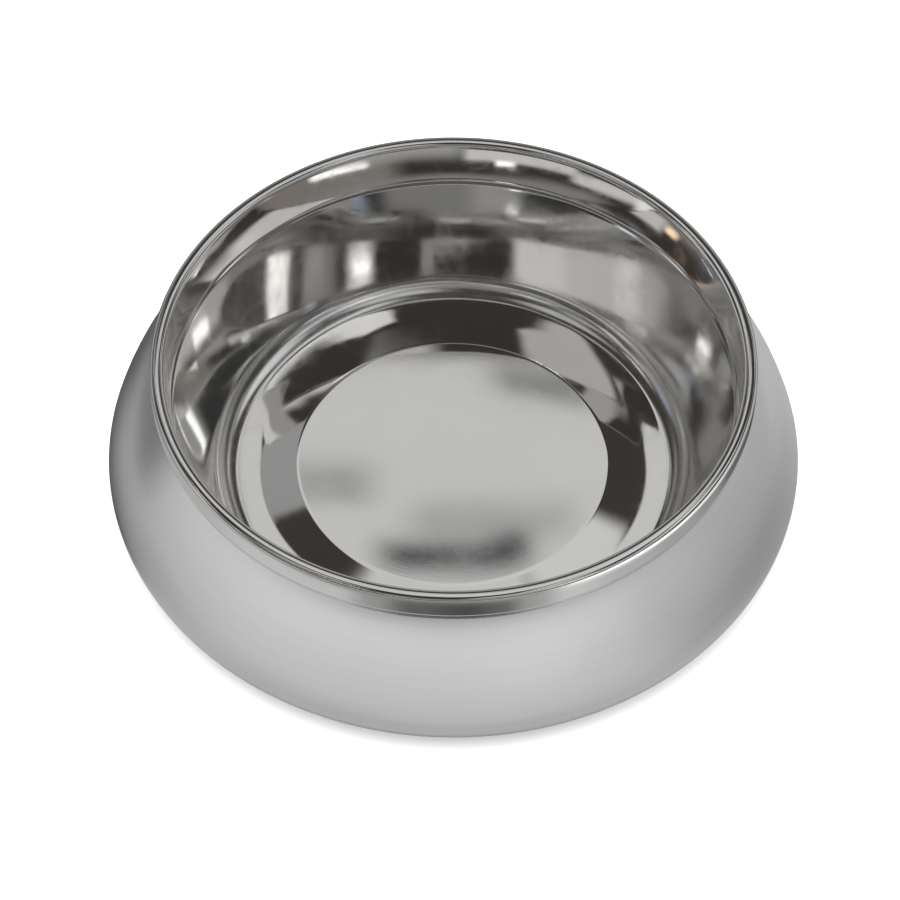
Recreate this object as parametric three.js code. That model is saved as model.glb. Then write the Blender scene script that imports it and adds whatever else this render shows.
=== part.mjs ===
// Pet food bowl, a double-walled pressed-steel dish that is hard to tip over.
// Millimetres, +Z up, origin on the standing plane at the bowl's axis.
//
// Three turned pieces on one axis:
//   inner_bowl      deep-drawn pan whose edge rolls over into the rim
//   outer_skirt     flared wall, caught in the rolled rim, turned in under the belly
//   anti_slip_ring  rubber ring of U section over the inner edge of the turned-in flange
import * as THREE from 'three';

// ---- driving dimensions (mm) ----
const SEGMENTS = 48;            // facets round the axis, the same on every piece
const SHEET = 0.6;              // steel thickness

const BASE_RADIUS = 105.0;      // widest point of the belly
const STEEL_BOTTOM = 1.2;       // lowest steel, above the standing plane
const BELLY_RADIUS = 10.5;       // rounding of the belly, outside
const FLANGE_INNER_RADIUS = 93.0;
const SKIRT_TOP_RADIUS = 88.6;  // outside of the vertical top edge in the rim
const SKIRT_TOP_Z = 52.2;
const FLARE_START_R = 89.2;     // where the flare leaves the rim
const FLARE_START_Z = 45.5;
const FLARE_SAGITTA = 1.45;      // outward bulge of the flare

const RIM_TOP_R = 88.0;         // top circle of the rolled rim
const RIM_TOP_Z = 54.5;
const RIM_CROWN = 8.0;          // the rim's top is slightly crowned: radius, and half its angle in degrees
const RIM_CROWN_HALF = 5.5;
const ROLL_IN = 1.4;            // rolls on either side of the crown, outside radius
const ROLL_OUT = 1.5;
const HEM_BOTTOM_Z = 47.0;      // lower edge of the rolled-down hem
const HEM_TUCK = 0.15;          // how far the hem edge is pressed in

const BAND_BOTTOM_R = 84.75;    // upper band of the pan, just above the step
const BAND_BOTTOM_Z = 40.0;
const STEP_R = 83.95;           // top of the sloping wall, just below the step
const STEP_Z = 38.5;
const CORNER_R = 65.5;          // valley ring where the corner fillet meets the floor
const CORNER_Z = 3.4;
const CORNER_FILLET = 8.0;
// The floor: a raised disc, a shallow cone and a valley. [distance from the axis, fall outwards in degrees]
const FLOOR_FALL = [[0, 0], [25, 0], [46.8, 0.18], [48.4, 5.8], [57, 5.5], [61.5, 0.8], [CORNER_R, 0]];
const FLOOR_RINGS = [0, 25, 46.8, 47.6, 48.4, 52.7, 57, 59.2, 61.5];

const RING_INNER = 88.8;
const RING_OUTER = 96.2;
const RING_TOP = 4.2;
const SLOT_GAP = 0.3;           // clearance between the rubber slot and the flange
// ---------------------------------

const P = (r, z) => new THREE.Vector2(r, z);

// Points of a circular arc in the section plane, angles in degrees, both ends included.
function arc(r, z, radius, from, to, steps) {
  const out = [];
  for (let i = 0; i <= steps; i++) {
    const a = THREE.MathUtils.degToRad(from + (to - from) * i / steps);
    out.push(P(r + radius * Math.cos(a), z + radius * Math.sin(a)));
  }
  return out;
}

// The other face of a sheet: the path moved sideways by t (to the right of its direction).
function offset(path, t) {
  const n = path.length;
  const normal = (a, b) => {
    const dx = b.x - a.x, dy = b.y - a.y, l = Math.hypot(dx, dy);
    return P(dy / l, -dx / l);
  };
  return path.map((p, i) => {
    const a = i > 0 ? normal(path[i - 1], p) : null;
    const b = i < n - 1 ? normal(p, path[i + 1]) : null;
    if (!a && p.x === 0) return P(0, p.y - t);          // on the axis
    if (!a) return P(p.x + b.x * t, p.y + b.y * t);
    if (!b) return P(p.x + a.x * t, p.y + a.y * t);
    const m = P(a.x + b.x, a.y + b.y);
    const k = 2 * t / (m.x * m.x + m.y * m.y);
    return P(p.x + m.x * k, p.y + m.y * k);
  });
}

// Turns a section (r, z) about +Z. The section runs anticlockwise, so its faces point outwards.
function turned(section) {
  const ring = THREE.ShapeUtils.isClockWise(section) ? [...section].reverse() : section;
  const g = new THREE.LatheGeometry(ring, SEGMENTS);
  g.rotateX(Math.PI / 2);
  return g;
}

// Fall of the floor at a distance from the axis, eased between the given rings.
function floorFall(r) {
  for (let i = 1; i < FLOOR_FALL.length; i++) {
    const [r0, a0] = FLOOR_FALL[i - 1], [r1, a1] = FLOOR_FALL[i];
    if (r <= r1) return a0 + (a1 - a0) * THREE.MathUtils.smoothstep(r, r0, r1);
  }
  return 0;
}

// Height of the floor, summed inwards from the valley ring.
function floorHeight(r) {
  const n = 400, w = (CORNER_R - r) / n;
  let z = CORNER_Z;
  for (let i = 0; i < n; i++) z += w * Math.tan(THREE.MathUtils.degToRad(floorFall(r + (i + 0.5) * w)));
  return z;
}

// ---- inner_bowl: upper face from the axis out to the hem's lower edge ----
function panFace() {
  const face = [];
  // Floor, from the axis to the valley ring.
  for (const r of FLOOR_RINGS) face.push(P(r, floorHeight(r)));
  // Corner fillet, tangent to the sloping wall.
  const fr = CORNER_R, fz = CORNER_Z + CORNER_FILLET;
  const dr = STEP_R - fr, dz = STEP_Z - fz;
  const reach = Math.hypot(dr, dz);
  const to = Math.atan2(dz, dr) - Math.acos(CORNER_FILLET / reach);
  face.push(...arc(fr, fz, CORNER_FILLET, -90, THREE.MathUtils.radToDeg(to), 5));
  // Sloping wall and step.
  face.push(P(STEP_R, STEP_Z));
  face.push(P((STEP_R + BAND_BOTTOM_R) / 2, (STEP_Z + BAND_BOTTOM_Z) / 2));
  face.push(P(BAND_BOTTOM_R, BAND_BOTTOM_Z));
  // Upper band, running tangent into the rim's inner roll.
  const crownZ = RIM_TOP_Z - RIM_CROWN;
  const side = THREE.MathUtils.degToRad(RIM_CROWN_HALF);
  const inR = RIM_TOP_R - (RIM_CROWN - ROLL_IN) * Math.sin(side), inZ = crownZ + (RIM_CROWN - ROLL_IN) * Math.cos(side);
  const bandR = inR - BAND_BOTTOM_R, bandZ = inZ - BAND_BOTTOM_Z;
  const lean = Math.atan2(bandR, bandZ) - Math.asin(ROLL_IN / Math.hypot(bandR, bandZ));
  face.push(...arc(inR, inZ, ROLL_IN, 180 - THREE.MathUtils.radToDeg(lean), 90 + RIM_CROWN_HALF, 5));
  // Crowned top, outer roll and hem.
  face.push(P(RIM_TOP_R, RIM_TOP_Z));
  const outR = RIM_TOP_R + (RIM_CROWN - ROLL_OUT) * Math.sin(side), outZ = crownZ + (RIM_CROWN - ROLL_OUT) * Math.cos(side);
  face.push(...arc(outR, outZ, ROLL_OUT, 90 - RIM_CROWN_HALF, 0, 5));
  face.push(P(outR + ROLL_OUT, HEM_BOTTOM_Z + 1.2));
  face.push(P(outR + ROLL_OUT - HEM_TUCK, HEM_BOTTOM_Z));
  return face;
}
const panTop = panFace();
const panBack = offset(panTop, SHEET);
const panSection = [...panTop, ...panBack.reverse()];

// ---- outer_skirt: outer face from the top edge down to the flange's inner edge ----
function skirtFace() {
  const br = BASE_RADIUS - BELLY_RADIUS, bz = STEEL_BOTTOM + BELLY_RADIUS;
  // The flare is an arc that starts under the rim and runs tangent into the belly.
  // Its lower end lies on the belly circle at the angle where both share one tangent.
  let phi = 15, flare = null;
  for (let k = 0; k < 40; k++) {
    const a = THREE.MathUtils.degToRad(phi);
    const ex = br + BELLY_RADIUS * Math.cos(a), ez = bz + BELLY_RADIUS * Math.sin(a);
    const cx = ex - FLARE_START_R, cz = ez - FLARE_START_Z;
    const chord = Math.hypot(cx, cz);
    const R = chord * chord / (8 * FLARE_SAGITTA) + FLARE_SAGITTA / 2;
    const half = Math.asin(chord / 2 / R);
    const lean = Math.atan2(cx, -cz);            // chord, from straight down
    flare = { R, lean, half, ex, ez };
    phi = THREE.MathUtils.radToDeg(lean - half);
  }
  // Centre of the flare arc: on the belly normal at the shared point.
  const a = THREE.MathUtils.degToRad(phi);
  const fx = flare.ex - flare.R * Math.cos(a), fz = flare.ez - flare.R * Math.sin(a);
  const top = Math.atan2(FLARE_START_Z - fz, FLARE_START_R - fx) * 180 / Math.PI;
  return [
    P(SKIRT_TOP_RADIUS, SKIRT_TOP_Z),
    P(SKIRT_TOP_RADIUS, FLARE_START_Z + 0.8),
    ...arc(fx, fz, flare.R, top, phi, 7),
    ...arc(br, bz, BELLY_RADIUS, phi, -90, 9).slice(1),
    P(FLANGE_INNER_RADIUS, STEEL_BOTTOM),
  ];
}
const skirtOut = skirtFace();
const skirtIn = offset(skirtOut, SHEET);
const skirtSection = [...skirtOut, ...skirtIn.reverse(), skirtOut[0].clone()];

// ---- anti_slip_ring ----
const slotLow = STEEL_BOTTOM - SLOT_GAP;
const slotHigh = STEEL_BOTTOM + SHEET + SLOT_GAP;
const ringSection = [
  P(RING_INNER + 0.6, 0),
  P(RING_OUTER - 0.5, 0),
  P(RING_OUTER, 0.45),
  P(RING_OUTER, slotLow),
  P(FLANGE_INNER_RADIUS - 0.4, slotLow),
  P(FLANGE_INNER_RADIUS - 0.4, slotHigh),
  P(RING_OUTER - 0.8, slotHigh),
  P(RING_OUTER - 1.2, RING_TOP - 0.6),
  P(RING_OUTER - 1.9, RING_TOP),
  P(RING_INNER + 1.2, RING_TOP),
  P(RING_INNER, RING_TOP - 1.0),
  P(RING_INNER, 0.6),
];
ringSection.push(ringSection[0].clone());

// ---- materials ----
const polished = new THREE.MeshStandardMaterial({ color: 0xc6c6c8, metalness: 1.0, roughness: 0.08 });
const satin = new THREE.MeshStandardMaterial({ color: 0xb9babc, metalness: 1.0, roughness: 0.28 });
const rubber = new THREE.MeshStandardMaterial({ color: 0x1c1c1e, metalness: 0.0, roughness: 0.75 });

function piece(name, section, material) {
  const mesh = new THREE.Mesh(turned(section), material);
  mesh.name = name;
  return mesh;
}

const bowl = new THREE.Group();
bowl.add(piece('inner_bowl', panSection, polished));
bowl.add(piece('outer_skirt', skirtSection, satin));
bowl.add(piece('anti_slip_ring', ringSection, rubber));

export default bowl;
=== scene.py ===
# A double-walled polished steel pet bowl, on a pale floor in soft studio light.
# Metres, +Z up, the bowl's axis on +Z, standing on z = 0.
import math

import bpy
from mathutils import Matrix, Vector, noise


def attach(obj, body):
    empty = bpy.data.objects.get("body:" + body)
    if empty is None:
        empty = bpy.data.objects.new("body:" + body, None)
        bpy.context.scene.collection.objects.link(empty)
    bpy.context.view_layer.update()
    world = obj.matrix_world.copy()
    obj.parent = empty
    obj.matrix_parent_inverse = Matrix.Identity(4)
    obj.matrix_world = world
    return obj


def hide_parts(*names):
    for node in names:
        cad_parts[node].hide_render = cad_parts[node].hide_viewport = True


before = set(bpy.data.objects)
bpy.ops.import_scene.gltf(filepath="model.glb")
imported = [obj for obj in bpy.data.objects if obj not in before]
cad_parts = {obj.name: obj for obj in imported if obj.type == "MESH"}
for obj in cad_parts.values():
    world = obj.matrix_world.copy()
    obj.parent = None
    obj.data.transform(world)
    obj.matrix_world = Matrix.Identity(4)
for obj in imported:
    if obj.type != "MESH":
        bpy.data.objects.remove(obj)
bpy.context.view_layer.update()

MM = 0.001

# ---------------------------------------------------------------- dimensions (mm)
SHEET = 0.6
BASE_R, STEEL_BOTTOM, BELLY = 105.0, 1.2, 10.5
FLANGE_R = 93.0
SKIRT_TOP_R, SKIRT_TOP_Z = 88.6, 52.2
FLARE_R, FLARE_Z, FLARE_SAG = 89.2, 45.5, 1.45
RIM_TOP_R, RIM_TOP_Z = 88.0, 54.5
ROLL_IN, ROLL_OUT = 1.4, 1.5
CROWN, CROWN_HALF = 8.0, 5.5
HEM_Z, TUCK = 47.0, 0.15
BAND_R, BAND_Z, BAND_SAG = 84.75, 40.0, 0.1
STEP_R, STEP_Z = 83.95, 38.5
CORNER_R, CORNER_Z, FILLET = 65.5, 3.4, 8.0
WALL_SAG = 0.14
# the floor falls outwards by this many degrees at these distances from the axis: a raised disc, a cone, a shallow valley
FLOOR_FALL = [(0.0, 0.0), (25.0, 0.0), (46.8, 0.18), (48.4, 5.8), (57.0, 5.5), (61.5, 0.8), (CORNER_R, 0.0)]
RING_IN, RING_OUT, RING_TOP = 88.8, 96.2, 4.2
SEG = 360


# ---------------------------------------------------------------- section tools
def arc(r, z, radius, a0, a1, n):
    out = []
    for i in range(n + 1):
        a = math.radians(a0 + (a1 - a0) * i / n)
        out.append((r + radius * math.cos(a), z + radius * math.sin(a)))
    return out


def line(p, q, n):
    return [(p[0] + (q[0] - p[0]) * i / n, p[1] + (q[1] - p[1]) * i / n) for i in range(n + 1)]


def bowed(p, q, sag, n):
    """Shallow arc from p to q, bulging sag to the left of p->q."""
    dx, dy = q[0] - p[0], q[1] - p[1]
    l = math.hypot(dx, dy)
    out = []
    for i in range(n + 1):
        t = i / n
        h = 4 * sag * t * (1 - t)
        out.append((p[0] + dx * t - dy / l * h, p[1] + dy * t + dx / l * h))
    return out


def eased(p, before, q, after, reach, n):
    """Smooth curve from p to q that leaves along before->p and arrives along q->after."""
    a, b = Vector(p), Vector(q)
    ta, tb = (a - Vector(before)).normalized() * reach, (Vector(after) - b).normalized() * reach
    out = []
    for i in range(n + 1):
        t = i / n
        v = a * (1 - t) ** 3 + (a + ta) * 3 * t * (1 - t) ** 2 + (b - tb) * 3 * t * t * (1 - t) + b * t ** 3
        out.append((v.x, v.y))
    return out


def rounded(points, radius, n=6, closed=False):
    """A polyline with its corners turned into arcs. radius is one number or one per point."""
    m = len(points)
    out = []
    for i, p in enumerate(points):
        if not closed and i in (0, m - 1):
            out.append(p)
            continue
        a, b = points[i - 1], points[(i + 1) % m]
        rad = radius[i] if isinstance(radius, (list, tuple)) else radius
        va = Vector((a[0] - p[0], a[1] - p[1]))
        vb = Vector((b[0] - p[0], b[1] - p[1]))
        if rad <= 0 or va.length < 1e-9 or vb.length < 1e-9:
            out.append(p)
            continue
        ua, ub = va.normalized(), vb.normalized()
        half = ua.angle(ub) / 2
        if half > math.pi / 2 - 1e-3:
            out.append(p)
            continue
        cut = min(rad / math.tan(half), va.length * 0.49, vb.length * 0.49)
        rr = cut * math.tan(half)
        mid = (ua + ub).normalized()
        c = Vector(p) + mid * (rr / math.sin(half))
        s, e = Vector(p) + ua * cut, Vector(p) + ub * cut
        a0 = math.atan2(s.y - c.y, s.x - c.x)
        a1 = math.atan2(e.y - c.y, e.x - c.x)
        while a1 - a0 > math.pi:
            a1 -= 2 * math.pi
        while a1 - a0 < -math.pi:
            a1 += 2 * math.pi
        for k in range(n + 1):
            t = a0 + (a1 - a0) * k / n
            out.append((c.x + rr * math.cos(t), c.y + rr * math.sin(t)))
    return out


def tidy(path, tol=1e-4):
    out = [path[0]]
    for p in path[1:]:
        if math.hypot(p[0] - out[-1][0], p[1] - out[-1][1]) > tol:
            out.append(p)
    return out


def offset(path, t):
    """The sheet's other face, t to the right of the path."""
    n = len(path)
    out = []
    for i, p in enumerate(path):
        nm = []
        for a, b in ((i - 1, i), (i, i + 1)):
            if a >= 0 and b < n:
                dx, dy = path[b][0] - path[a][0], path[b][1] - path[a][1]
                l = math.hypot(dx, dy)
                nm.append((dy / l, -dx / l))
        mx, my = sum(v[0] for v in nm), sum(v[1] for v in nm)
        k = t * len(nm) / (mx * mx + my * my)
        q = (p[0] + mx * k, p[1] + my * k)
        out.append((0.0, p[1] - t) if p[0] == 0.0 else q)
    return out


def edge_round(p, q, n=5):
    """Half-round sheet edge from p to q, bulging to the left of p->q."""
    c = ((p[0] + q[0]) / 2, (p[1] + q[1]) / 2)
    r = math.hypot(q[0] - p[0], q[1] - p[1]) / 2
    a0 = math.atan2(p[1] - c[1], p[0] - c[0])
    return [(c[0] + r * math.cos(a0 - math.pi * i / n), c[1] + r * math.sin(a0 - math.pi * i / n)) for i in range(1, n)]


def lathe(name, section, material, wave=None):
    """Turns a closed section about +Z. A section that starts and ends on the axis closes along it."""
    on_axis = section[0][0] == 0.0 and section[-1][0] == 0.0
    body = section[1:-1] if on_axis else section
    verts, faces = [], []
    m = len(body)
    for i in range(SEG):
        a = 2 * math.pi * i / SEG
        ca, sa = math.cos(a), math.sin(a)
        for r, z in body:
            dx = 0.0
            if wave:
                dr, dz, dx = wave(r, z, a)
                r, z = r + dr, z + dz
            verts.append(((r * ca + dx) * MM, r * sa * MM, z * MM))
    for i in range(SEG):
        j = (i + 1) % SEG
        for k in range(m - 1 if on_axis else m):
            l = (k + 1) % m
            faces.append((i * m + k, i * m + l, j * m + l, j * m + k))
    if on_axis:
        top, low = len(verts), len(verts) + 1
        verts += [(0, 0, section[0][1] * MM), (0, 0, section[-1][1] * MM)]
        for i in range(SEG):
            j = (i + 1) % SEG
            faces.append((top, i * m, j * m))
            faces.append((low, j * m + m - 1, i * m + m - 1))
    area = sum(section[k - 1][0] * section[k][1] - section[k][0] * section[k - 1][1] for k in range(len(section)))
    if area > 0:
        faces = [f[::-1] for f in faces]
    mesh = bpy.data.meshes.new(name)
    mesh.from_pydata(verts, [], faces)
    mesh.validate()
    mesh.shade_smooth()
    mesh.materials.append(material)
    obj = bpy.data.objects.new(name, mesh)
    bpy.context.scene.collection.objects.link(obj)
    return obj


# ---------------------------------------------------------------- materials
def new_material(name):
    m = bpy.data.materials.new(name)
    m.use_nodes = True
    nt = m.node_tree
    nt.nodes.clear()
    out = nt.nodes.new("ShaderNodeOutputMaterial")
    bsdf = nt.nodes.new("ShaderNodeBsdfPrincipled")
    nt.links.new(bsdf.outputs[0], out.inputs[0])
    return m, nt, bsdf


def math_node(nt, op, a, b=None, c=None):
    n = nt.nodes.new("ShaderNodeMath")
    n.operation = op
    for k, v in enumerate((a, b, c)):
        if v is None:
            continue
        if isinstance(v, (int, float)):
            n.inputs[k].default_value = v
        else:
            nt.links.new(v, n.inputs[k])
    return n.outputs[0]


def ramp(nt, value, lo, hi, out_lo, out_hi, kind="SMOOTHSTEP"):
    n = nt.nodes.new("ShaderNodeMapRange")
    n.interpolation_type = kind
    n.inputs["From Min"].default_value = lo
    n.inputs["From Max"].default_value = hi
    n.inputs["To Min"].default_value = out_lo
    n.inputs["To Max"].default_value = out_hi
    nt.links.new(value, n.inputs["Value"])
    return n.outputs["Result"]


def noise_node(nt, vector, scale, detail=2.0, rough=0.5, distort=0.0):
    n = nt.nodes.new("ShaderNodeTexNoise")
    n.inputs["Scale"].default_value = scale
    n.inputs["Detail"].default_value = detail
    n.inputs["Roughness"].default_value = rough
    n.inputs["Distortion"].default_value = distort
    nt.links.new(vector, n.inputs["Vector"])
    return n.outputs["Fac"]


def round_coords(nt):
    """Object position in mm, and the same place as (distance from the axis, turn, height) in mm."""
    tc = nt.nodes.new("ShaderNodeTexCoord")
    mm = nt.nodes.new("ShaderNodeVectorMath")
    mm.operation = "SCALE"
    mm.inputs["Scale"].default_value = 1000.0
    nt.links.new(tc.outputs["Object"], mm.inputs[0])
    sep = nt.nodes.new("ShaderNodeSeparateXYZ")
    nt.links.new(mm.outputs[0], sep.inputs[0])
    x, y, z = sep.outputs
    r = math_node(nt, "SQRT", math_node(nt, "MULTIPLY_ADD", x, x, math_node(nt, "MULTIPLY", y, y)))
    turn = math_node(nt, "ARCTAN2", x, y)
    return mm.outputs[0], (x, y, z), r, turn


def stretched(nt, r, turn, z, across, along, lift):
    """Coordinates for marks that run round the axis: fine across, long along, no seam."""
    c = nt.nodes.new("ShaderNodeCombineXYZ")
    nt.links.new(math_node(nt, "MULTIPLY", math_node(nt, "ADD", r, math_node(nt, "MULTIPLY", z, lift)), across), c.inputs[0])
    nt.links.new(math_node(nt, "MULTIPLY", math_node(nt, "COSINE", turn), along), c.inputs[1])
    nt.links.new(math_node(nt, "MULTIPLY", math_node(nt, "SINE", turn), along), c.inputs[2])
    return c.outputs[0]


def bump_node(nt, height, strength, distance, below=None):
    n = nt.nodes.new("ShaderNodeBump")
    n.inputs["Strength"].default_value = strength
    n.inputs["Distance"].default_value = distance
    nt.links.new(height, n.inputs["Height"])
    if below is not None:
        nt.links.new(below, n.inputs["Normal"])
    return n.outputs["Normal"]


def tint(nt, factor, low, high):
    n = nt.nodes.new("ShaderNodeMix")
    n.data_type = "RGBA"
    n.inputs["A"].default_value = (*low, 1)
    n.inputs["B"].default_value = (*high, 1)
    for i in n.inputs:
        if i.type == "RGBA" and i.name == "A":
            i.default_value = (*low, 1)
        if i.type == "RGBA" and i.name == "B":
            i.default_value = (*high, 1)
    nt.links.new(factor, n.inputs["Factor"])
    return [o for o in n.outputs if o.type == "RGBA"][0]


def polished_steel():
    m, nt, b = new_material("polished_steel")
    pos, (x, y, z), r, turn = round_coords(nt)
    cloud = noise_node(nt, pos, 0.045, 2.0, 0.5)
    wipe = noise_node(nt, pos, 0.16, 3.0, 0.6, 1.0)
    lines = noise_node(nt, stretched(nt, r, turn, z, 4.0, 6.0, 0.7), 1.0, 3.0, 0.65)
    b.inputs["Metallic"].default_value = 1.0
    nt.links.new(tint(nt, cloud, (0.80, 0.79, 0.775), (0.86, 0.855, 0.845)), b.inputs["Base Color"])
    dull = ramp(nt, r, 52.0, 60.0, 0.2, 1.0)
    rough = math_node(nt, "ADD", ramp(nt, wipe, 0.35, 0.75, 0.0, 0.05), ramp(nt, lines, 0.5, 0.8, 0.0, 0.03))
    rough = math_node(nt, "ADD", math_node(nt, "MULTIPLY", rough, dull), ramp(nt, cloud, 0.3, 0.7, 0.028, 0.04))
    corner = ramp(nt, math_node(nt, "ABSOLUTE", math_node(nt, "SUBTRACT", r, 70.0)), 1.5, 5.0, 0.13, 0.0)
    rough = math_node(nt, "ADD", rough, math_node(nt, "MULTIPLY", corner, ramp(nt, z, 1.0, 2.5, 0.0, 1.0)))
    # the polish is duller on one side of the wall
    haze = math_node(nt, "MULTIPLY", ramp(nt, x, 40.0, 72.0, 0.0, 0.055), math_node(nt, "MULTIPLY", ramp(nt, z, 6.0, 11.0, 0.0, 1.0), ramp(nt, z, 32.0, 37.5, 1.0, 0.0)))
    rough = math_node(nt, "ADD", rough, haze)
    nt.links.new(rough, b.inputs["Roughness"])
    fine = math_node(nt, "MULTIPLY", lines, ramp(nt, z, 30.0, 37.0, 1.0, 0.1))
    nt.links.new(bump_node(nt, fine, 0.03, 0.00002), b.inputs["Normal"])
    return m


def satin_steel():
    m, nt, b = new_material("satin_steel")
    pos, (x, y, z), r, turn = round_coords(nt)
    cloud = noise_node(nt, pos, 0.025, 2.0, 0.5)
    lines = noise_node(nt, stretched(nt, r, turn, z, 0.8, 2.5, -1.5), 1.0, 2.0, 0.6)
    b.inputs["Metallic"].default_value = 1.0
    shade = math_node(nt, "ADD", math_node(nt, "MULTIPLY", cloud, 0.5), math_node(nt, "MULTIPLY", lines, 0.5))
    nt.links.new(tint(nt, shade, (0.58, 0.58, 0.585), (0.71, 0.71, 0.715)), b.inputs["Base Color"])
    rough = math_node(nt, "ADD", ramp(nt, cloud, 0.3, 0.7, 0.27, 0.31), ramp(nt, lines, 0.3, 0.75, 0.0, 0.006))
    nt.links.new(rough, b.inputs["Roughness"])
    nt.links.new(bump_node(nt, lines, 0.06, 0.00004), b.inputs["Normal"])
    return m


def rubber():
    m, nt, b = new_material("rubber")
    pos, (x, y, z), r, turn = round_coords(nt)
    grain = noise_node(nt, pos, 2.4, 4.0, 0.6)
    dust = noise_node(nt, pos, 0.22, 4.0, 0.6, 0.5)
    nt.links.new(tint(nt, ramp(nt, dust, 0.4, 0.75, 0.0, 1.0), (0.018, 0.018, 0.019), (0.045, 0.044, 0.042)), b.inputs["Base Color"])
    nt.links.new(ramp(nt, grain, 0.3, 0.7, 0.62, 0.82), b.inputs["Roughness"])
    nt.links.new(bump_node(nt, grain, 0.25, 0.0002), b.inputs["Normal"])
    return m


M_PAN, M_SKIRT, M_RUBBER = polished_steel(), satin_steel(), rubber()


# ---------------------------------------------------------------- inner bowl
def smooth(lo, hi, v):
    t = min(1.0, max(0.0, (v - lo) / (hi - lo)))
    return t * t * (3 - 2 * t)


def floor_fall(r):
    for (r0, a0), (r1, a1) in zip(FLOOR_FALL, FLOOR_FALL[1:]):
        if r <= r1:
            return a0 + (a1 - a0) * smooth(r0, r1, r)
    return 0.0


def pan_path():
    path = []
    n = 262
    z = CORNER_Z
    for i in range(n - 1, -1, -1):
        r = CORNER_R * i / n
        z += CORNER_R / n * math.tan(math.radians(floor_fall(r + CORNER_R / n / 2)))
        if i % 4 == 0 or 46.0 < r < 51.0:
            path.insert(0, (r, z))
    fr, fz = CORNER_R, CORNER_Z + FILLET
    to = -25.0
    for _ in range(30):
        a = math.radians(to)
        dr, dz = STEP_R - fr - FILLET * math.cos(a), STEP_Z - fz - FILLET * math.sin(a)
        to = math.degrees(math.atan2(dz, dr) - math.atan(4 * WALL_SAG / math.hypot(dr, dz))) - 90
    path += arc(fr, fz, FILLET, -90, to, 28)
    path += bowed(path[-1], (STEP_R, STEP_Z), -WALL_SAG, 32)[1:-1]
    a = math.radians(90 + CROWN_HALF)
    crown_z = RIM_TOP_Z - CROWN
    cr, cz = RIM_TOP_R + (CROWN - ROLL_IN) * math.cos(a), crown_z + (CROWN - ROLL_IN) * math.sin(a)
    lean = 8.0
    for _ in range(30):
        a = math.radians(180 - lean)
        top = (cr + ROLL_IN * math.cos(a), cz + ROLL_IN * math.sin(a))
        dr, dz = top[0] - BAND_R, top[1] - BAND_Z
        lean = math.degrees(math.atan2(dr, dz) + math.atan(4 * BAND_SAG / math.hypot(dr, dz)))
    band = bowed((BAND_R, BAND_Z), top, BAND_SAG, 18)
    path += eased((STEP_R, STEP_Z), path[-1], (BAND_R, BAND_Z), band[1], 0.5, 12)[:-1]
    path += band[:-1]
    path += arc(cr, cz, ROLL_IN, 180 - lean, 90 + CROWN_HALF, 16)
    path += arc(RIM_TOP_R, crown_z, CROWN, 90 + CROWN_HALF, 90 - CROWN_HALF, 10)[1:]
    a = math.radians(90 - CROWN_HALF)
    cr, cz = RIM_TOP_R + (CROWN - ROLL_OUT) * math.cos(a), crown_z + (CROWN - ROLL_OUT) * math.sin(a)
    path += arc(cr, cz, ROLL_OUT, 90 - CROWN_HALF, 0, 16)[1:]
    out_r = cr + ROLL_OUT
    hem = [path[-1], (out_r, HEM_Z + 1.6), (out_r - TUCK, HEM_Z)]
    path += rounded(hem, [0, 1.6, 0], 6)[1:]
    return tidy(path)


def pressed(r, z, a):
    """The slight unevenness of deep-drawn and buffed sheet: mm along the radius, along the axis and along +X."""
    c, s = math.cos(a), math.sin(a)
    wall = smooth(5.0, 11.0, z) * (1 - smooth(44.0, 50.0, z))
    floor_part = 1 - smooth(58.0, 66.0, r)
    dr = dz = 0.0
    if wall > 0:
        dr = 0.055 * noise.noise(Vector((1.7 * c, 1.7 * s, z / 26.0 + 3.1)))
        dr += 0.026 * noise.noise(Vector((4.2 * c + 7.0, 4.2 * s, z / 12.0)))
        dr *= wall
    if floor_part > 0:
        dz = 0.022 * noise.noise(Vector((r * c / 38.0, r * s / 38.0 + 5.3, 1.9)))
        dz += 0.0015 * noise.noise(Vector((r * c / 13.0 + 2.0, r * s / 13.0, 4.4)))
        dz *= floor_part
    return dr, dz, -0.3 * (1 - min(1.0, max(0.0, (z - 6.0) / 32.5)))


pan_top = pan_path()
pan_back = offset(pan_top, SHEET)
pan_section = pan_top + edge_round(pan_top[-1], pan_back[-1]) + pan_back[::-1]
inner_bowl = lathe("inner_bowl_fine", pan_section, M_PAN, pressed)


# ---------------------------------------------------------------- outer skirt
def skirt_path():
    br, bz = BASE_R - BELLY, STEEL_BOTTOM + BELLY
    phi = 15.0
    for _ in range(40):
        a = math.radians(phi)
        ex, ez = br + BELLY * math.cos(a), bz + BELLY * math.sin(a)
        cx, cz = ex - FLARE_R, ez - FLARE_Z
        chord = math.hypot(cx, cz)
        big = chord * chord / (8 * FLARE_SAG) + FLARE_SAG / 2
        phi = math.degrees(math.atan2(cx, -cz) - math.asin(chord / 2 / big))
    a = math.radians(phi)
    fx, fz = ex - big * math.cos(a), ez - big * math.sin(a)
    top = math.degrees(math.atan2(FLARE_Z - fz, FLARE_R - fx))
    path = rounded([(SKIRT_TOP_R, SKIRT_TOP_Z), (SKIRT_TOP_R, FLARE_Z + 0.8), (FLARE_R, FLARE_Z)], [0, 1.2, 0], 6)[:-1]
    path += arc(fx, fz, big, top, phi, 48)
    path += arc(br, bz, BELLY, phi, -90, 40)[1:]
    path.append((FLANGE_R, STEEL_BOTTOM))
    return tidy(path)


skirt_out = skirt_path()
skirt_in = offset(skirt_out, SHEET)
skirt_section = skirt_out + edge_round(skirt_out[-1], skirt_in[-1]) + skirt_in[::-1] + edge_round(skirt_in[0], skirt_out[0])
outer_skirt = lathe("outer_skirt_fine", skirt_section, M_SKIRT)

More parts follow.
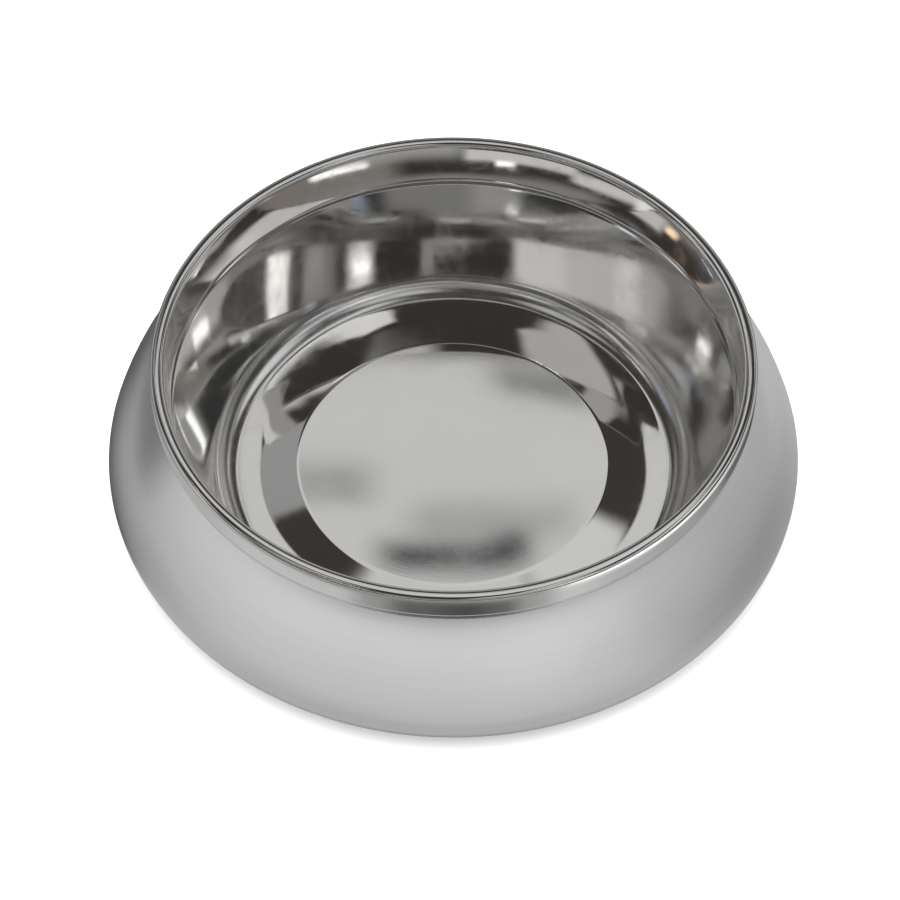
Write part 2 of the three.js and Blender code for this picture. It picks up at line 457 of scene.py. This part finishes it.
# ---------------------------------------------------------------- rubber ring
slot_low, slot_high = STEEL_BOTTOM - 0.3, STEEL_BOTTOM + SHEET + 0.3
ring_corners = [
    (RING_IN, 0.0), (RING_OUT, 0.0), (RING_OUT, slot_low), (FLANGE_R - 0.4, slot_low), (FLANGE_R - 0.4, slot_high),
    (RING_OUT - 0.8, slot_high), (RING_OUT - 1.2, RING_TOP), (RING_IN, RING_TOP),
]
ring_section = rounded(ring_corners, [0.6, 0.45, 0.2, 0.1, 0.1, 0.2, 0.7, 1.0], 5, closed=True)
anti_slip_ring = lathe("anti_slip_ring_fine", ring_section, M_RUBBER)

for piece, node, slot in (
    (inner_bowl, "inner_bowl", "polished_steel"),
    (outer_skirt, "outer_skirt", "satin_steel"),
    (anti_slip_ring, "anti_slip_ring", "rubber"),
):
    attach(piece, "root")
    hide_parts(node)

# ---------------------------------------------------------------- floor
# open under the bowl, inside the line where the rubber ring stands, so that light reaches the underside from below
floor_mesh = bpy.data.meshes.new("floor")
ROUND = 128
ring = [(rad * math.cos(2 * math.pi * i / ROUND), rad * math.sin(2 * math.pi * i / ROUND), 0.0) for rad in (0.092, 6.0) for i in range(ROUND)]
floor_mesh.from_pydata(ring, [], [(i, ROUND + i, ROUND + (i + 1) % ROUND, (i + 1) % ROUND) for i in range(ROUND)])
floor = bpy.data.objects.new("floor", floor_mesh)
bpy.context.scene.collection.objects.link(floor)
fm, fnt, fb = new_material("floor")
fpos = fnt.nodes.new("ShaderNodeTexCoord").outputs["Object"]
fnt.links.new(tint(fnt, noise_node(fnt, fpos, 3.0, 3.0, 0.5), (0.885, 0.885, 0.885), (0.905, 0.905, 0.905)), fb.inputs["Base Color"])
fnt.links.new(ramp(fnt, noise_node(fnt, fpos, 40.0, 3.0, 0.5), 0.3, 0.7, 0.8, 0.95), fb.inputs["Roughness"])
fnt.links.new(math_node(fnt, "SUBTRACT", 1.0, fnt.nodes.new("ShaderNodeNewGeometry").outputs["Backfacing"]), fb.inputs["Alpha"])
floor_mesh.materials.append(fm)

# ---------------------------------------------------------------- light
# A studio drawn as soft panels on the sky: azimuth from +Y towards +X, elevation from the horizon, degrees.
# (azimuth, half width, soft edge, elevation, half height, soft edge, brightness)
PANELS = [
    # low surround: dimmer behind, dark towards the front
    (0, 70, 40, 9, 12, 8, 0.48),
    (180, 80, 20, 15, 11, 5, (0.10, 0.094, 0.088)),
    # half-light above the horizon
    (-15, 32, 16, 35, 5, 6, 0.24),
    (42, 30, 16, 34.5, 4, 5, 0.36),
    (-80, 9, 6, 34, 5, 6, 0.30),
    (-66, 5, 5, 34, 6, 5, (0.28, 0.34, 0.44)),
    (40, 3.5, 3, 34.1, 0.9, 0.8, 1.7),
    (130, 28, 14, 36, 4, 4, (0.24, 0.22, 0.20)),
    (158, 26, 14, 30.5, 4, 4, 0.42),
    (-77, 14, 8, 27.5, 2, 2.5, 0.42),
    (-155, 21, 5, 33.8, 1.6, 1.2, 0.72),
    (-118, 17, 6, 35.8, 1.3, 1.2, 0.74),
    (-93, 8, 5, 40.3, 3, 2, 0.66),
    (137, 11, 4, 34.7, 0.7, 0.8, 1.7),
    (105, 5, 4, 33.4, 0.6, 0.8, 1.3),
    (180, 60, 20, 42.3, 3.7, 2, 0.27),
    (180, 60, 20, 54, 3.5, 3, 0.24),
    (72, 28, 12, 25, 8, 5, 0.04),
    # right-hand wall of light
    (76, 30, 10, 47.0, 4.5, 3, 0.78),
    (65, 19, 4, 56, 5, 2, 0.72),
    (89, 6, 4, 56, 4.5, 2, 0.36),
    (124, 38, 16, 46.2, 4.0, 1.6, 0.66),
    (136, 11, 6, 49.3, 1.0, 0.8, 1.9),
    (137, 5, 3, 44.0, 1.2, 0.8, 1.2),
    (161, 16, 12, 46.3, 2.1, 0.8, 0.52),
    (-166, 17, 14, 46.3, 2.1, 0.8, 0.30),
    (-135, 16, 12, 46.3, 2.1, 0.8, 0.20),
    (140, 30, 16, 66, 8, 8, 0.55),
    # back panel
    (-1, 13, 3, 61.1, 11.7, 0.5, 0.62),
    (12, 14, 4, 59, 4, 2, 0.66),
    (-3.6, 1.5, 1.4, 51.65, 0.35, 0.4, 0.38),
    (1.2, 2.2, 1.6, 52.35, 0.35, 0.5, 0.42),
    (0.0, 2.1, 1.6, 53.05, 0.30, 0.45, 0.07),
    (1.5, 0.5, 0.9, 52.8, 0.25, 0.4, 0.07),
    (2.6, 1.6, 1.2, 49.9, 0.3, 0.4, 0.25),
    (-19, 5, 2, 49.6, 4.4, 1, 0.32),
    (-107, 10, 5, 54, 6, 3, 0.42),
    # left lamps
    (-71, 8, 10, 49.2, 0.7, 1.2, 3.0),
    (-95, 5, 8, 49.5, 3, 3, 0.26),
    (-138.5, 9, 5, 49.9, 0.35, 0.2, 5.0),
    (-104, 4, 5, 36, 3, 3, 1.0),
    # small lamps
    (-161, 3.5, 3, 35.8, 0.7, 1, 1.7),
    (121, 8, 6, 26, 2, 2, (1.1, 1.2, 1.4)),
    (-81, 3, 4, 40, 1.5, 2, (1.5, 1.1, 0.8)),
]
# lights overhead, by the direction's own x and y: (x, half, soft, y, half, soft, brightness)
STRIPS = [
    (0.197, 0.048, 0.02, 0.2, 0.22, 0.06, 0.85),
    (-0.31, 0.11, 0.03, 0.06, 0.18, 0.05, 0.50),
]
HORIZON, OVERHEAD = (0.85, 0.85, 0.85), (0.046, 0.041, 0.037)


def studio():
    world = bpy.data.worlds.new("studio")
    bpy.context.scene.world = world
    world.use_nodes = True
    nt = world.node_tree
    nt.nodes.clear()
    tc = nt.nodes.new("ShaderNodeTexCoord")
    sep = nt.nodes.new("ShaderNodeSeparateXYZ")
    nt.links.new(tc.outputs["Generated"], sep.inputs[0])
    x, y, z = sep.outputs
    az = math_node(nt, "ARCTAN2", x, y)
    el = math_node(nt, "ARCSINE", z)
    colour = tint(nt, ramp(nt, el, math.radians(12), math.radians(26), 0.0, 1.0), HORIZON, OVERHEAD)
    def lay(under, mask, value):
        rgb = value if isinstance(value, tuple) else (value,) * 3
        mixed = nt.nodes.new("ShaderNodeMix")
        mixed.data_type = "RGBA"
        ins = {i.name: i for i in mixed.inputs if i.type == "RGBA"}
        nt.links.new(mask, mixed.inputs["Factor"])
        nt.links.new(under, ins["A"])
        ins["B"].default_value = (*rgb, 1)
        return [o for o in mixed.outputs if o.type == "RGBA"][0]

    def within(value, middle, half, soft):
        off = math_node(nt, "ABSOLUTE", math_node(nt, "SUBTRACT", value, middle))
        return ramp(nt, off, half - soft / 2, half + soft / 2, 1.0, 0.0)

    for a, ah, sa, e, eh, se, value in PANELS:
        a, ah, sa, e, eh, se = (math.radians(v) for v in (a, ah, sa, e, eh, se))
        off = math_node(nt, "PINGPONG", math_node(nt, "SUBTRACT", az, a), math.pi)
        ma = ramp(nt, off, ah - sa / 2, ah + sa / 2, 1.0, 0.0)
        colour = lay(colour, math_node(nt, "MULTIPLY", ma, within(el, e, eh, se)), value)
    above = ramp(nt, z, 0.55, 0.6, 0.0, 1.0)
    for sx, hx, fx, sy, hy, fy, value in STRIPS:
        mask = math_node(nt, "MULTIPLY", within(x, sx, hx, fx), within(y, sy, hy, fy))
        colour = lay(colour, math_node(nt, "MULTIPLY", mask, above), value)
    bg = nt.nodes.new("ShaderNodeBackground")
    nt.links.new(colour, bg.inputs["Color"])
    plain = nt.nodes.new("ShaderNodeBackground")
    plain.inputs["Color"].default_value = (0.93, 0.93, 0.93, 1)
    even = nt.nodes.new("ShaderNodeBackground")
    even.inputs["Color"].default_value = (1, 1, 1, 1)
    even.inputs["Strength"].default_value = 2.1
    path = nt.nodes.new("ShaderNodeLightPath")
    matt, both = nt.nodes.new("ShaderNodeMixShader"), nt.nodes.new("ShaderNodeMixShader")
    out = nt.nodes.new("ShaderNodeOutputWorld")
    nt.links.new(path.outputs["Is Diffuse Ray"], matt.inputs[0])
    nt.links.new(bg.outputs[0], matt.inputs[1])
    nt.links.new(even.outputs[0], matt.inputs[2])
    nt.links.new(path.outputs["Is Camera Ray"], both.inputs[0])
    nt.links.new(matt.outputs[0], both.inputs[1])
    nt.links.new(plain.outputs[0], both.inputs[2])
    nt.links.new(both.outputs[0], out.inputs[0])


studio()

# a large soft lamp overhead that only the matt surfaces take light from
lamp = bpy.data.lights.new("overhead", "AREA")
lamp.shape = "DISK"
lamp.size = 1.6
lamp.energy = 9.0
overhead = bpy.data.objects.new("overhead", lamp)
bpy.context.scene.collection.objects.link(overhead)
overhead.location = (0, 0.1, 1.6)
overhead.visible_glossy = False
overhead.visible_camera = False


def flag(name, low, high, steps=240):
    """A thin ring that only polished and brushed metal sees, between low(turn) and high(turn), each (radius, z).
    turn 0 is the front."""
    mesh = bpy.data.meshes.new(name)
    verts, faces = [], []
    for i in range(steps):
        t = 2 * math.pi * i / steps
        turn = math.remainder(t, 2 * math.pi)
        for rad, z in (low(turn), high(turn)):
            verts.append((rad * math.sin(t), -rad * math.cos(t), z))
    for i in range(steps):
        j = (i + 1) % steps
        faces.append((i * 2, i * 2 + 1, j * 2 + 1, j * 2))
    mesh.from_pydata(verts, [], faces)
    obj = bpy.data.objects.new(name, mesh)
    bpy.context.scene.collection.objects.link(obj)
    for kind in ("camera", "diffuse", "shadow", "transmission"):
        setattr(obj, "visible_" + kind, False)
    m, nt, b = new_material(name)
    b.inputs["Base Color"].default_value = (0.03, 0.03, 0.03, 1)
    b.inputs["Roughness"].default_value = 1.0
    mesh.materials.append(m)
    return nt, b


def turn_of(nt):
    """Turn about the axis as 0..1, 0.5 at the front, and the distance from the axis and height in metres."""
    sep = nt.nodes.new("ShaderNodeSeparateXYZ")
    nt.links.new(nt.nodes.new("ShaderNodeTexCoord").outputs["Object"], sep.inputs[0])
    x, y, z = sep.outputs
    around = math_node(nt, "ARCTAN2", x, math_node(nt, "MULTIPLY", y, -1.0))
    away = math_node(nt, "SQRT", math_node(nt, "MULTIPLY_ADD", x, x, math_node(nt, "MULTIPLY", y, y)))
    return ramp(nt, around, -math.pi, math.pi, 0.0, 1.0, "LINEAR"), away, sep.outputs


def graded(nt, value, stops):
    """Brightness round the bowl: stops are (turn in degrees, brightness)."""
    n = nt.nodes.new("ShaderNodeValToRGB")
    n.color_ramp.interpolation = "EASE"
    for k, (turn, v) in enumerate(stops):
        at = (turn + 180) / 360
        stop = n.color_ramp.elements[k] if k < 2 else n.color_ramp.elements.new(at)
        stop.position = at
        stop.color = (v, v, v, 1)
    nt.links.new(value, n.inputs[0])
    return n.outputs[0]


def glow(nt, b, value):
    b.inputs["Base Color"].default_value = (0, 0, 0, 1)
    b.inputs["Emission Color"].default_value = (1, 1, 1, 1)
    nt.links.new(value, b.inputs["Emission Strength"])


# a narrow glowing ring just outside the rim, seen only by the metal: painted highlight and painted shade on the rim's
# outer edge, a bright streak on the right, dark under the front
rnt, rb = flag("rim_highlight_and_shade_ring", lambda turn: (0.0904, 0.0452), lambda turn: (0.0975, 0.0548))
turn, away, place = turn_of(rnt)
# outer part: painted highlight, brightest on the right; inner part: painted shade, darkest under the front of the rim
outer = graded(rnt, turn, [(-180, 0.10), (-110, 0.12), (-75, 0.25), (-50, 0.42), (-20, 0.30), (0, 0.22), (16, 0.36), (27, 1.2),
                           (42, 1.6), (56, 0.9), (72, 0.45), (100, 0.30), (130, 0.12), (180, 0.10)])
inner = graded(rnt, turn, [(-180, 0.05), (-110, 0.08), (-80, 0.34), (-60, 0.45), (-40, 0.58), (-22, 0.58), (-15, 0.34), (-8, 0.13), (3, 0.08), (9, 0.14), (15, 0.38),
                           (22, 0.62), (34, 0.48), (48, 0.38), (57, 0.30), (66, 0.14), (80, 0.07), (180, 0.05)])
part = ramp(rnt, away, 0.0922, 0.0945, 0.0, 1.0)
glow(rnt, rb, math_node(rnt, "ADD", math_node(rnt, "MULTIPLY", outer, part),
                        math_node(rnt, "MULTIPLY", inner, math_node(rnt, "SUBTRACT", 1.0, part))))

# low cards standing round the bowl, lighter in front
tnt, tb = flag("cards", lambda turn: (0.17, 0.0004), lambda turn: (0.17, 0.069))
turn, away, place = turn_of(tnt)
level = graded(tnt, turn, [(-180, 0.40), (-120, 0.22), (-94, 0.20), (-80, 0.70), (-62, 0.78), (-38, 0.86), (0, 0.85), (20, 0.90),
                           (34, 0.82), (50, 0.64), (72, 0.55), (92, 0.57), (120, 0.60), (180, 0.40)])
glow(tnt, tb, math_node(tnt, "MULTIPLY", level, ramp(tnt, place[2], 0.0, 0.07, 0.86, 1.24, "LINEAR")))

# the floor round the bowl as the brushed skirt sees it, a sheet over the floor that only the metal sees: painted shade,
# darker close under the bowl and in shaded patches (x, y, half width, half depth, strength), metres
PAINTED_SHADE_PATCHES = [
    (-0.112, 0.070, 0.030, 0.045, 0.86),
    (-0.108, 0.002, 0.016, 0.040, 0.85),
    (-0.145, -0.010, 0.050, 0.065, 0.24),
    (0.165, -0.055, 0.060, 0.075, 0.46),
]
gnt, gb = flag("shade", lambda turn: (0.0968, 0.0003), lambda turn: (0.6, 0.0003))
turn, away, place = turn_of(gnt)
# painted shade: the floor darker close to the bowl, standing in for its shadow there
clear = math_node(gnt, "MULTIPLY", ramp(gnt, away, 0.135, 0.185, 0.60, 0.95), ramp(gnt, away, 0.098, 0.108, 0.25, 1.0))
for px, py, hx, hy, strength in PAINTED_SHADE_PATCHES:
    u = math_node(gnt, "DIVIDE", math_node(gnt, "SUBTRACT", place[0], px), hx)
    v = math_node(gnt, "DIVIDE", math_node(gnt, "SUBTRACT", place[1], py), hy)
    far = math_node(gnt, "SQRT", math_node(gnt, "MULTIPLY_ADD", u, u, math_node(gnt, "MULTIPLY", v, v)))
    clear = math_node(gnt, "MULTIPLY", clear, ramp(gnt, far, 0.4, 1.6, 1.0 - strength, 1.0))
glow(gnt, gb, clear)

# ---------------------------------------------------------------- camera
ELEV, DIST, F_PX = math.radians(50.65), 1.1, 3640.0
TARGET, AT_PX = Vector((0, 0, 0.0262)), (453.4, 416.3)
fwd = Vector((0, math.cos(ELEV), -math.sin(ELEV)))
right = Vector((1, 0, 0))
up = right.cross(fwd)
axis = fwd * F_PX + right * (450 - AT_PX[0]) + up * (AT_PX[1] - 450)
cam_data = bpy.data.cameras.new("camera")
cam_data.sensor_width = 36.0
cam_data.lens = F_PX / 900 * 36.0
cam_data.clip_start, cam_data.clip_end = 0.05, 50
cam = bpy.data.objects.new("camera", cam_data)
bpy.context.scene.collection.objects.link(cam)
cam.location = TARGET - fwd * DIST
cam.rotation_euler = axis.to_track_quat("-Z", "Y").to_euler()
bpy.context.scene.camera = cam
bpy.context.scene.view_settings.view_transform = "Standard"
bpy.context.scene.cycles.glossy_bounces = 12
